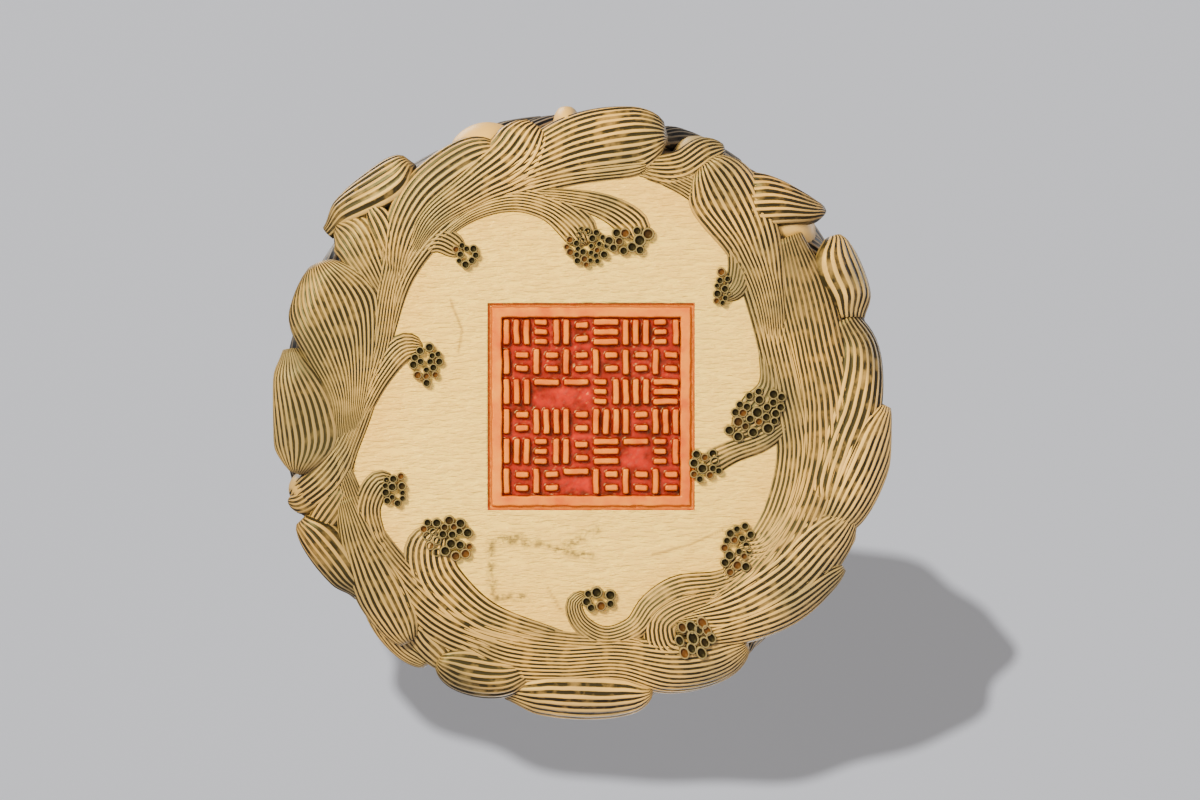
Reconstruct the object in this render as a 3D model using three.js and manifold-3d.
// A standing ivory figure in long robes, carved in one piece with the lotus and the round base
// of rolling waves that it rises from. Millimetres, +Z up, front towards -Y, with the origin
// under the middle of the base. It stands on the wave crests. The plain field in the middle of
// the underside lies a little higher, and a square seal is cut into it.
import * as THREE from "three";
import { mergeVertices } from "three/addons/utils/BufferGeometryUtils.js";
import Module from "manifold-3d";

// Wave base
const BASE_WIDTH = 130; // across the wave crests
const BASE_HEIGHT = 22; // top of the core that the waves lie on
const FIELD_RECESS = 1.5; // the plain field lies this far above the crests
const FLAT_RADIUS = 49; // the underside is level out to here
const RIM_RISE = 13; // how far the rounded rim goes up from there
const RIM_RELIEF = 3.6; // how far a wave stands out at the rim
const WAVE_ROOT = 2.2; // how deep the waves are rooted in the core

// Seal
const SEAL_SIZE = 41;
const SEAL_FRAME = 2; // width of the raised frame
const SEAL_GROOVE = 0.9; // width of the groove round the frame
const SEAL_DEPTH = 1.1; // depth of the groove and of the ground round the strokes
const SEAL_STROKE = 1.4; // width of a stroke
const SEAL_ROWS = 5;
const SEAL_ASIDE = 2.1; // the seal's middle lies this far towards +X
const SEAL_FORWARD = 0.5; // and this far towards the front

// Lotus
const LOTUS_TOP = 58;
const LOTUS_RADIUS = 61.5; // to the outermost curve of the lower petals
const LOTUS_PETALS = 18;
const LOTUS_FLUTE = 4; // how far the lines between the petals lie inside them
const LOTUS_ROOT = 6; // the lower petals start this far below the top of the core

// Figure
const FIGURE_HEIGHT = 442; // from the lotus to the top of the topknot
const ROBE_FOLDS = 14;
const ROBE_STEP = 2.4; // the outer robe stands this far off the inner one
const OUTER_HEM = 28; // height of the outer robe's hem above the lotus
const OPENING_AT_HEM = 34; // half of the outer robe's opening, in degrees from the front
const OPENING_AT_WAIST = 14;

const { sin, cos, hypot, abs, min, max, sqrt, asin, atan2, PI } = Math;
const TURN = 2 * PI;
const DEGREE = PI / 180;
const clamp = (x, low = 0, high = 1) => min(high, max(low, x));
const mix = (a, b, t) => a + (b - a) * t;
const point = (x, y, z) => new THREE.Vector3(x, y, z);

function ease(low, high, x) {
  const t = clamp((x - low) / (high - low));
  return t * t * (3 - 2 * t);
}

const wasm = await Module();
wasm.setup();

const ivory = new THREE.MeshStandardMaterial({ color: 0xe6d3a8, roughness: 0.38, metalness: 0 });

// Turns a closed geometry into a solid that can be joined and cut.
function solid(geometry) {
  const bare = geometry.clone();
  bare.deleteAttribute("normal");
  bare.deleteAttribute("uv");
  const merged = mergeVertices(bare, 1e-4);
  return new wasm.Manifold(new wasm.Mesh({
    numProp: 3,
    vertProperties: new Float32Array(merged.attributes.position.array),
    triVerts: new Uint32Array(merged.index.array),
  }));
}

function joined(solids) {
  return solids.reduce((whole, next) => whole.add(next));
}

function signedVolume(places, index) {
  let volume = 0;
  for (let i = 0; i < index.length; i += 3) {
    const [a, b, c] = [places[index[i]], places[index[i + 1]], places[index[i + 2]]];
    volume += a.dot(b.clone().cross(c)) / 6;
  }
  return volume;
}

// A closed skin over rings of equal length, with a fan of triangles at either end.
function skin(rings) {
  const count = rings[0].length;
  const places = rings.flat();
  const middle = (ring) => ring.reduce((sum, p) => sum.add(p), point(0, 0, 0)).divideScalar(count);
  const first = places.push(middle(rings[0])) - 1;
  const last = places.push(middle(rings.at(-1))) - 1;
  const index = [];
  for (let j = 0; j < count; j += 1) {
    const k = (j + 1) % count;
    const end = (rings.length - 1) * count;
    index.push(first, k, j, last, end + j, end + k);
    for (let i = 0; i < end; i += count) {
      index.push(i + j, i + k, i + count + k, i + j, i + count + k, i + count + j);
    }
  }
  if (signedVolume(places, index) < 0) index.reverse();
  const geometry = new THREE.BufferGeometry();
  geometry.setAttribute("position", new THREE.Float32BufferAttribute(places.flatMap((p) => [...p]), 3));
  geometry.setIndex(index);
  return solid(geometry);
}

function block(x0, x1, y0, y1, z0, z1) {
  const box = new THREE.BoxGeometry(x1 - x0, y1 - y0, z1 - z0);
  box.translate((x0 + x1) / 2, (y0 + y1) / 2, (z0 + z1) / 2);
  return solid(box);
}

// Reads a table of rows [where, value, value...], with a smooth curve between the rows.
function track(rows, where) {
  const last = rows.length - 1;
  const at = clamp(where, rows[0][0], rows[last][0]);
  const i = clamp(rows.findIndex((row) => row[0] > at) - 1, 0, last - 1);
  const k = at >= rows[last][0] ? last - 1 : i;
  const [before, a, b, after] = [rows[max(k - 1, 0)], rows[k], rows[k + 1], rows[min(k + 2, last)]];
  const span = b[0] - a[0];
  const t = (at - a[0]) / span;
  return a.slice(1).map((value, n) => {
    const c = n + 1;
    const slopeA = ((b[c] - before[c]) / (b[0] - before[0])) * span;
    const slopeB = ((after[c] - a[c]) / (after[0] - a[0])) * span;
    const bend = slopeA * t * (1 - t) ** 2 - slopeB * t * t * (1 - t);
    return mix(value, b[c], t * t * (3 - 2 * t)) + bend;
  });
}

// The waves' places are pixels of a straight picture of the underside. The figure's front is up
// in it and +X is right, so a row is [across, down, half the wave's width].
const PICTURE_CENTRE = [581, 409];
const PICTURE_WIDTH = 630; // the base's width in those pixels
const PIXEL = BASE_WIDTH / PICTURE_WIDTH;

// Towards the rim the rows are moved out and widened, so that the crests cover it.
const SPREAD_FROM = 205; // in pixels from the middle
const SPREAD_TO = 262;
const SPREAD_OUT = 0.035;
const SPREAD_WIDE = 0.2;

const RIM_WAVES = {
  rolledPetal: [[312, 238, 12], [345, 205, 18], [385, 178, 18], [418, 158, 11]],
  fanAtTopLeft: [[395, 290, 14], [415, 225, 18], [455, 175, 22], [502, 140, 24]],
  topDome: [[430, 222, 16], [480, 172, 22], [515, 148, 28], [548, 128, 30]],
  topPetal: [[470, 205, 14], [530, 165, 24], [600, 142, 30], [672, 140, 26]],
  topRightPetal: [[785, 340, 18], [762, 268, 22], [737, 212, 26], [708, 165, 26]],
  finger: [[738, 190, 20], [780, 198, 16], [818, 216, 8]],
  rightInner: [[790, 240, 13], [800, 290, 17], [815, 345, 18], [832, 402, 16]],
  rightShoulder: [[816, 240, 12], [834, 268, 20], [850, 305, 20], [846, 345, 14]],
  rightHook: [[850, 320, 12], [864, 358, 18], [852, 402, 20], [815, 442, 16]],
  rightPetal: [[884, 390, 14], [878, 430, 27], [864, 470, 28], [846, 508, 18]],
  lowerRightRoll: [[858, 498, 14], [835, 545, 22], [790, 595, 24], [735, 636, 20], [700, 655, 12]],
  lowerRightEdge: [[842, 556, 10], [822, 590, 16], [795, 614, 16], [758, 632, 10]],
  bottomStream: [[440, 632, 12], [540, 655, 18], [650, 668, 20], [715, 655, 20], [748, 640, 12]],
  bottomPetal: [[502, 688, 14], [555, 696, 22], [610, 697, 22], [658, 688, 12]],
  bottomLeftPetal: [[422, 648, 10], [455, 672, 20], [490, 684, 20], [514, 684, 10]],
  lowerLeftRoll: [[338, 515, 14], [358, 565, 20], [392, 615, 20], [430, 654, 12]],
  lowerLeftEdge: [[300, 508, 12], [316, 545, 20], [340, 578, 18], [364, 600, 10]],
  leftPetal: [[306, 335, 18], [298, 385, 31], [299, 440, 31], [312, 492, 16]],
  bigFan: [[337, 246, 30], [342, 300, 46], [352, 360, 28], [342, 430, 18]],
  leftStream: [[345, 485, 14], [358, 420, 14], [378, 340, 14], [392, 280, 16], [410, 225, 14]],
  rightStream: [[750, 250, 14], [785, 330, 18], [800, 410, 20], [805, 480, 20], [780, 545, 22]],
};

const TONGUES = {
  topLeft: [[396, 278, 12], [428, 240, 14], [468, 255, 11]],
  topFoam: [[425, 230, 14], [480, 200, 16], [545, 195, 18], [586, 246, 20]],
  topSecondFoam: [[560, 198, 12], [608, 206, 13], [634, 240, 15]],
  topRight: [[700, 180, 14], [740, 228, 16], [722, 292, 11]],
  rightFoam: [[800, 400, 18], [762, 408, 24], [728, 438, 10]],
  rightRibbon: [[788, 426, 12], [738, 448, 16], [702, 468, 14]],
  lowerRight: [[800, 500, 18], [768, 545, 20], [734, 550, 17]],
  snail: [[652, 606, 14], [672, 640, 22], [702, 634, 20]],
  hook: [[644, 622, 8], [608, 634, 11], [574, 612, 12], [600, 597, 14]],
  lowerLeft: [[520, 640, 18], [452, 602, 26], [449, 538, 25]],
  leftLow: [[390, 560, 14], [366, 515, 14], [396, 488, 12]],
  leftHigh: [[351, 447, 12], [370, 395, 14], [384, 352, 16], [426, 360, 16]],
};

const RIM_REACH = BASE_WIDTH / 2 - RIM_RELIEF - FLAT_RADIUS; // how far the rim goes out

// The underside and the rim are one bent sheet. A place on it is given as if it were rolled out
// flat, as a distance along the sheet from the middle. The rim turns through a right angle.
const RIM_TURN = (RIM_REACH + RIM_RISE) / 2; // length of the sheet for each radian of the rim

function sheetPlace(along) {
  const angle = clamp((along - FLAT_RADIUS) / RIM_TURN, 0, PI / 2);
  const above = max(0, along - FLAT_RADIUS - (RIM_TURN * PI) / 2);
  const length = hypot(RIM_RISE * sin(angle), RIM_REACH * cos(angle));
  return {
    radius: min(along, FLAT_RADIUS) + RIM_REACH * sin(angle),
    height: FIELD_RECESS + RIM_RISE * (1 - cos(angle)) + above,
    out: (RIM_RISE * sin(angle)) / length,
    down: (RIM_REACH * cos(angle)) / length,
  };
}

// A point that stands off the sheet by the share given of a wave's full relief. The crests stay
// in the plane that the statue stands on until the relief has grown to that of the rim.
function offSheet(x, y, share) {
  const along = hypot(x, y);
  const { radius, height, out, down } = sheetPlace(along);
  const full = min(RIM_RELIEF, height / max(down, 0.01));
  const relief = share > 0 ? share * full : share * WAVE_ROOT;
  const reach = radius + out * relief;
  return point((x / along) * reach, (y / along) * reach, height - down * relief);
}

// From a pixel of the picture to the rolled-out sheet.
function rolledOut([across, down, halfWidth]) {
  const [right, below] = [across - PICTURE_CENTRE[0], down - PICTURE_CENTRE[1]];
  const spread = ease(SPREAD_FROM, SPREAD_TO, hypot(right, below));
  const x = right * PIXEL * (1 + SPREAD_OUT * spread);
  const y = below * PIXEL * (1 + SPREAD_OUT * spread);
  const radius = hypot(x, y);
  const bend = asin(clamp((radius - FLAT_RADIUS) / RIM_REACH));
  const along = min(radius, FLAT_RADIUS) + RIM_TURN * bend;
  return point((x / radius) * along, (y / radius) * along, halfWidth * PIXEL * (1 + SPREAD_WIDE * spread));
}

const WAVE_STEPS = 5;
const RIM_SECTION = [[-1, -0.5], [-0.65, 0.8], [0, 1], [0.65, 0.8], [1, -0.5], [0, -1]];
const TONGUE_SECTION = [[-1, -0.5], [-0.5, 1], [0.5, 1], [1, -0.5], [0, -1]];

// One wave: a crowned band along its middle line, round at the tip.
function wave(rows, section) {
  const path = new THREE.CatmullRomCurve3(rows.map(rolledOut), false, "centripetal");
  const rings = [];
  for (let i = 0; i <= WAVE_STEPS; i += 1) {
    const t = i / WAVE_STEPS;
    const middle = path.getPoint(t);
    const heading = path.getTangent(t);
    const length = hypot(heading.x, heading.y);
    const lift = mix(0.35, 1, ease(0, 0.3, t));
    const round = sqrt(1 - 0.8 * ease(0.7, 1, t));
    rings.push(section.map(([side, share]) => {
      const aside = side * middle.z * round;
      const x = middle.x - (heading.y / length) * aside;
      const y = middle.y + (heading.x / length) * aside;
      return offSheet(x, y, share > 0 ? share * lift : share);
    }));
  }
  return skin(rings);
}

function waveCore() {
  const profile = [new THREE.Vector2(0, FIELD_RECESS)];
  const steps = 4;
  for (let i = 0; i <= steps; i += 1) {
    const { radius, height } = sheetPlace(FLAT_RADIUS + (RIM_TURN * PI * i) / (2 * steps));
    profile.push(new THREE.Vector2(radius, height));
  }
  profile.push(new THREE.Vector2(FLAT_RADIUS + RIM_REACH, BASE_HEIGHT), new THREE.Vector2(0, BASE_HEIGHT));
  const lathe = new THREE.LatheGeometry(profile, 32);
  lathe.rotateX(PI / 2);
  return solid(lathe);
}

// The seal: a frame in a groove, and rows of short strokes on a lower ground.
function sealCut() {
  const half = SEAL_SIZE / 2 + SEAL_GROOVE;
  const cut = block(-half, half, -half, half, -1, FIELD_RECESS + SEAL_DEPTH);
  return cut.translate(SEAL_ASIDE, -SEAL_FORWARD, 0);
}

function sealRaised() {
  const root = FIELD_RECESS + SEAL_DEPTH + 1;
  const outer = SEAL_SIZE / 2;
  const inner = outer - SEAL_FRAME;
  const whole = block(-outer, outer, -outer, outer, FIELD_RECESS, root);
  const parts = [whole.subtract(block(-inner, inner, -inner, inner, -1, root + 1))];
  const pitch = (2 * inner) / SEAL_ROWS;
  for (let row = 0; row < SEAL_ROWS; row += 1) {
    const top = inner - row * pitch;
    const columns = 4 + (row % 2);
    const step = (2 * inner) / columns;
    for (let column = 0; column < columns; column += 1) {
      const left = -inner + column * step;
      const upright = (row + column) % 3 !== 1;
      const wide = upright ? SEAL_STROKE : step - SEAL_STROKE;
      const high = upright ? pitch - SEAL_STROKE : SEAL_STROKE;
      const [x, y] = [left + step / 2, top - pitch / 2];
      parts.push(block(x - wide / 2, x + wide / 2, y - high / 2, y + high / 2, FIELD_RECESS, root));
    }
  }
  return joined(parts).translate(SEAL_ASIDE, -SEAL_FORWARD, 0);
}

// Two tiers of lotus petals: round lobes that swell from the foot and come to points at the top.
// Rows: tier, share of the tier's height, share of the lotus's radius.
const LOTUS_ROWS = [
  [0, 0, 0.9], [0, 0.4, 0.985], [0, 0.8, 1], [0, 1, 0.94],
  [1, 0, 0.86], [1, 0.5, 0.95], [1, 1, 0.88],
];

function lotus() {
  const middle = mix(BASE_HEIGHT, LOTUS_TOP, 0.5);
  const tiers = [[BASE_HEIGHT - LOTUS_ROOT, middle, 0], [mix(BASE_HEIGHT, middle, 0.7), LOTUS_TOP, PI / LOTUS_PETALS]];
  const sides = LOTUS_PETALS * 4;
  return skin(LOTUS_ROWS.map(([tier, rise, spread]) => {
    const [foot, top, turned] = tiers[tier];
    const ring = [];
    for (let j = 0; j < sides; j += 1) {
      const angle = (j / sides) * TURN;
      const lobe = abs(cos((LOTUS_PETALS / 2) * (angle - turned)));
      const reach = LOTUS_RADIUS * spread - LOTUS_FLUTE * (1 - lobe);
      const height = foot + (top - foot) * rise * mix(0.6, 1, lobe);
      ring.push(point(reach * cos(angle), reach * sin(angle), height));
    }
    return ring;
  }));
}

// The figure's proportions are shares of its height, with 0 at its feet.
const share = (amount) => amount * FIGURE_HEIGHT;
const level = (amount) => LOTUS_TOP + share(amount);

// Rows: height, half-width, half-depth, sideways sway, depth of the folds.
const ROBE = [
  [-0.02, 0.112, 0.098, 0, 0.004],
  [0.03, 0.109, 0.095, 0, 0.0085],
  [0.12, 0.099, 0.086, 0.002, 0.0085],
  [0.28, 0.094, 0.079, 0.006, 0.0075],
  [0.42, 0.096, 0.078, 0.009, 0.0055],
  [0.54, 0.094, 0.074, 0.008, 0.004],
  [0.63, 0.09, 0.07, 0.004, 0.003],
  [0.7, 0.096, 0.069, 0.001, 0.003],
  [0.742, 0.104, 0.064, 0, 0.0025],
  [0.764, 0.092, 0.056, 0, 0.002],
  [0.782, 0.058, 0.045, 0, 0.001],
  [0.8, 0.034, 0.036, 0, 0],
];
const ROBE_SIDES = ROBE_FOLDS * 4;
const ROBE_LEVELS = [-0.02, 0.05, 0.066, 0.14, 0.23, 0.32, 0.41, 0.5, 0.59, 0.67, 0.73, 0.757, 0.78, 0.8];

// Half of the opening of the outer robe, as an angle from the front.
function robeOpening(height) {
  return mix(OPENING_AT_HEM, OPENING_AT_WAIST, ease(0.06, 0.6, height)) * DEGREE;
}

function robePoint(angle, height) {
  const [wide, deep, sway, fold] = track(ROBE, height);
  const fromFront = abs(atan2(sin(angle), cos(angle)));
  const drift = 0.22 * sin(height * 9) + 0.1 * sin(2 * angle + height * 6);
  const ridge = abs(cos((ROBE_FOLDS / 2) * (angle + drift))) ** 0.8 - 0.5;
  const covered = ease(robeOpening(height) - 0.05, robeOpening(height) + 0.05, fromFront);
  const step = covered * ease(OUTER_HEM - 4, OUTER_HEM + 2, share(height)) * (1 - ease(0.72, 0.78, height));
  const off = share(fold) * 2 * ridge + ROBE_STEP * step;
  const x = share(wide) + off;
  const y = share(deep) + off;
  return point(share(sway) + x * sin(angle), -y * cos(angle), level(height));
}

function robe() {
  return skin(ROBE_LEVELS.map((height) => {
    const ring = [];
    for (let j = 0; j < ROBE_SIDES; j += 1) ring.push(robePoint((j / ROBE_SIDES) * TURN, height));
    return ring;
  }));
}

// A round limb along a line of rows [x, y, height, radius], all shares of the figure's height.
function limb(rows, sides, steps) {
  const path = new THREE.CatmullRomCurve3(rows.map(([x, y, z]) => point(share(x), share(y), level(z))));
  const radii = rows.map((row, i) => [i / (rows.length - 1), share(row[3])]);
  const aside = point(0, 1, 0);
  const rings = [];
  for (let i = 0; i <= steps; i += 1) {
    const t = i / steps;
    const heading = path.getTangent(t);
    const first = aside.clone().cross(heading).normalize();
    const second = heading.clone().cross(first);
    const [radius] = track(radii, t);
    const ring = [];
    for (let j = 0; j < sides; j += 1) {
      const angle = (j / sides) * TURN;
      const spoke = first.clone().multiplyScalar(cos(angle)).addScaledVector(second, sin(angle));
      ring.push(path.getPoint(t).addScaledVector(spoke, radius));
    }
    rings.push(ring);
  }
  return skin(rings);
}

function arm(side) {
  const upper = limb([
    [side * 0.058, 0.002, 0.745, 0.026],
    [side * 0.094, 0, 0.715, 0.034],
    [side * 0.107, -0.006, 0.655, 0.038],
    [side * 0.107, -0.018, 0.6, 0.03],
  ], 10, 4);
  const lower = limb([
    [side * 0.112, -0.01, 0.608, 0.026],
    [side * 0.092, -0.044, 0.606, 0.036],
    [side * 0.062, -0.074, 0.616, 0.033],
    [side * 0.026, -0.09, 0.636, 0.026],
  ], 10, 4);
  return upper.add(lower);
}

// A sleeve that hangs from the forearm. Rows: height, middle x and y, half-length, half-thickness.
function hangingSleeve(side) {
  const rows = [
    [0.33, 0.092, -0.052, 0.012, 0.008],
    [0.36, 0.09, -0.054, 0.036, 0.02],
    [0.46, 0.088, -0.055, 0.05, 0.027],
    [0.56, 0.085, -0.052, 0.054, 0.033],
    [0.618, 0.078, -0.05, 0.03, 0.022],
  ];
  const turned = side * 38 * DEGREE;
  const sides = 14;
  return skin(rows.map(([height, x, y, long, thick]) => {
    const ring = [];
    for (let j = 0; j < sides; j += 1) {
      const angle = (j / sides) * TURN;
      const pleat = 1 + 0.12 * cos(5 * angle + 8 * height);
      const along = share(long) * cos(angle) * pleat;
      const over = share(thick) * sin(angle) * pleat;
      const place = point(along, over, 0).applyAxisAngle(point(0, 0, 1), turned);
      ring.push(place.add(point(side * share(x), share(y), level(height))));
    }
    return ring;
  }));
}

// An upright form of oval sections. Rows: height, middle y, half-width, half-depth.
function upright(rows, sides, x = 0) {
  return skin(rows.map(([height, y, wide, deep]) => {
    const ring = [];
    for (let j = 0; j < sides; j += 1) {
      const angle = (j / sides) * TURN;
      ring.push(point(share(x + wide * sin(angle)), share(y - deep * cos(angle)), level(height)));
    }
    return ring;
  }));
}

function hands() {
  return upright([
    [0.612, -0.086, 0.024, 0.022],
    [0.64, -0.09, 0.023, 0.022],
    [0.675, -0.088, 0.02, 0.019],
    [0.7, -0.082, 0.013, 0.014],
    [0.716, -0.077, 0.007, 0.008],
  ], 10);
}

// The sash that hangs from its knot at the waist, down the front.
function sash() {
  return upright([
    [0.17, -0.082, 0.019, 0.006],
    [0.26, -0.081, 0.018, 0.007],
    [0.4, -0.078, 0.015, 0.008],
    [0.54, -0.073, 0.013, 0.01],
    [0.57, -0.074, 0.022, 0.013],
    [0.6, -0.07, 0.012, 0.008],
  ], 8);
}

function neck() {
  return upright([
    [0.76, 0.004, 0.034, 0.034],
    [0.785, 0, 0.029, 0.03],
    [0.81, -0.002, 0.026, 0.028],
    [0.84, 0, 0.026, 0.028],
  ], 12);
}

// Rows: share of the head's height, half-width, reach to the front, reach to the back.
const HEAD = [
  [0, 0.014, 0.032, 0.002],
  [0.06, 0.026, 0.046, 0.016],
  [0.18, 0.039, 0.051, 0.036],
  [0.34, 0.047, 0.053, 0.052],
  [0.5, 0.05, 0.053, 0.06],
  [0.66, 0.05, 0.053, 0.063],
  [0.8, 0.046, 0.049, 0.058],
  [0.92, 0.033, 0.035, 0.041],
  [1, 0.01, 0.01, 0.012],
];
const CHIN = 0.797;
const CROWN = 0.934;
const HEAD_SIDES = 18;

function headRing(t, shape) {
  const ring = [];
  for (let j = 0; j < HEAD_SIDES; j += 1) {
    const angle = (j / HEAD_SIDES) * TURN;
    const [wide, front, back] = track(HEAD, t);
    const off = shape(angle, t);
    const reach = cos(angle) > 0 ? front : back;
    ring.push(point(
      share(wide + off) * sin(angle),
      share(-(reach + off) * cos(angle)),
      level(mix(CHIN, CROWN, t)),
    ));
  }
  return ring;
}

function head() {
  const nose = (angle, t) => {
    const narrow = ease(0.3, 0, abs(atan2(sin(angle), cos(angle))));
    return 0.011 * narrow * ease(0.28, 0.36, t) * (1 - ease(0.4, 0.6, t));
  };
  return skin(HEAD.map(([t]) => headRing(t, nose)));
}

// Hair combed back from a centre parting, over the ears to the nape.
function hair() {
  const levels = [0.14, 0.3, 0.44, 0.56, 0.68, 0.8, 0.92, 1];
  const shape = (angle, t) => {
    const fromFront = abs(atan2(sin(angle), cos(angle)));
    const hairline = mix(0.78, 0.3, ease(0.25, 1.75, fromFront));
    return mix(-0.004, 0.0075, ease(hairline - 0.05, hairline + 0.05, t));
  };
  return skin(levels.map((t) => headRing(t, shape)));
}

function topknot() {
  return upright([
    [0.905, 0.008, 0.034, 0.034],
    [0.93, 0.01, 0.036, 0.036],
    [0.955, 0.01, 0.036, 0.034],
    [0.978, 0.008, 0.027, 0.026],
    [0.993, 0.006, 0.014, 0.014],
    [1, 0.006, 0.004, 0.004],
  ], 12);
}

function diadem() {
  return upright([
    [0.895, -0.046, 0.012, 0.007],
    [0.915, -0.044, 0.017, 0.008],
    [0.94, -0.034, 0.013, 0.007],
    [0.96, -0.027, 0.004, 0.004],
  ], 10);
}

function ear(side) {
  return upright([
    [0.806, 0.002, 0.005, 0.006],
    [0.822, 0.002, 0.007, 0.009],
    [0.85, 0.004, 0.007, 0.012],
    [0.872, 0.006, 0.007, 0.013],
    [0.884, 0.006, 0.003, 0.006],
  ], 8, side * 0.049);
}

// Hair gathered behind the ear, over the shoulder and down the chest in a lock.
function sideLock(side) {
  return limb([
    [side * 0.036, 0.014, 0.85, 0.014],
    [side * 0.036, 0.008, 0.8, 0.016],
    [side * 0.056, -0.03, 0.77, 0.013],
    [side * 0.06, -0.062, 0.735, 0.012],
    [side * 0.05, -0.073, 0.69, 0.008],
    [side * 0.045, -0.074, 0.655, 0.003],
  ], 7, 7);
}

function figure() {
  const pairs = [-1, 1].flatMap((side) => [arm(side), hangingSleeve(side), ear(side), sideLock(side)]);
  return joined([robe(), sash(), hands(), neck(), head(), hair(), topknot(), diadem(), ...pairs]);
}

function waveBase() {
  const core = waveCore().subtract(sealCut()).add(sealRaised());
  const rim = Object.values(RIM_WAVES).map((rows) => wave(rows, RIM_SECTION));
  const tongues = Object.values(TONGUES).map((rows) => wave(rows, TONGUE_SECTION));
  return joined([core, ...rim, ...tongues]);
}

// The triangles of each separate surface of a mesh, as lists of indices.
function surfaces(places, index) {
  const leader = places.map((_, i) => i);
  const lead = (i) => {
    while (leader[i] !== i) i = leader[i];
    return i;
  };
  for (let i = 0; i < index.length; i += 3) {
    const first = lead(index[i]);
    leader[lead(index[i + 1])] = first;
    leader[lead(index[i + 2])] = first;
  }
  const found = new Map();
  for (let i = 0; i < index.length; i += 3) {
    const key = lead(index[i]);
    if (!found.has(key)) found.set(key, []);
    found.get(key).push(index[i], index[i + 1], index[i + 2]);
  }
  return [...found.values()];
}

// The statue as one closed mesh, with the middle of its box over the origin. Where waves cross,
// their joint can close over a tiny hollow, whose surface faces inwards. It is filled.
function statueGeometry() {
  const { vertProperties, triVerts } = joined([waveBase(), lotus(), figure()]).getMesh();
  const places = [];
  for (let i = 0; i < vertProperties.length; i += 3) places.push(point(...vertProperties.slice(i, i + 3)));
  const outer = surfaces(places, [...triVerts]).filter((index) => signedVolume(places, index) > 0);
  const geometry = new THREE.BufferGeometry();
  geometry.setAttribute("position", new THREE.BufferAttribute(new Float32Array(vertProperties), 3));
  geometry.setIndex(outer.flat());
  geometry.computeBoundingBox();
  const middle = geometry.boundingBox.getCenter(point(0, 0, 0));
  geometry.translate(-middle.x, -middle.y, 0);
  return geometry;
}

const statue = new THREE.Mesh(statueGeometry(), ivory);
statue.name = "ivory_statue";

const part = new THREE.Group();
part.add(statue);

export default part;
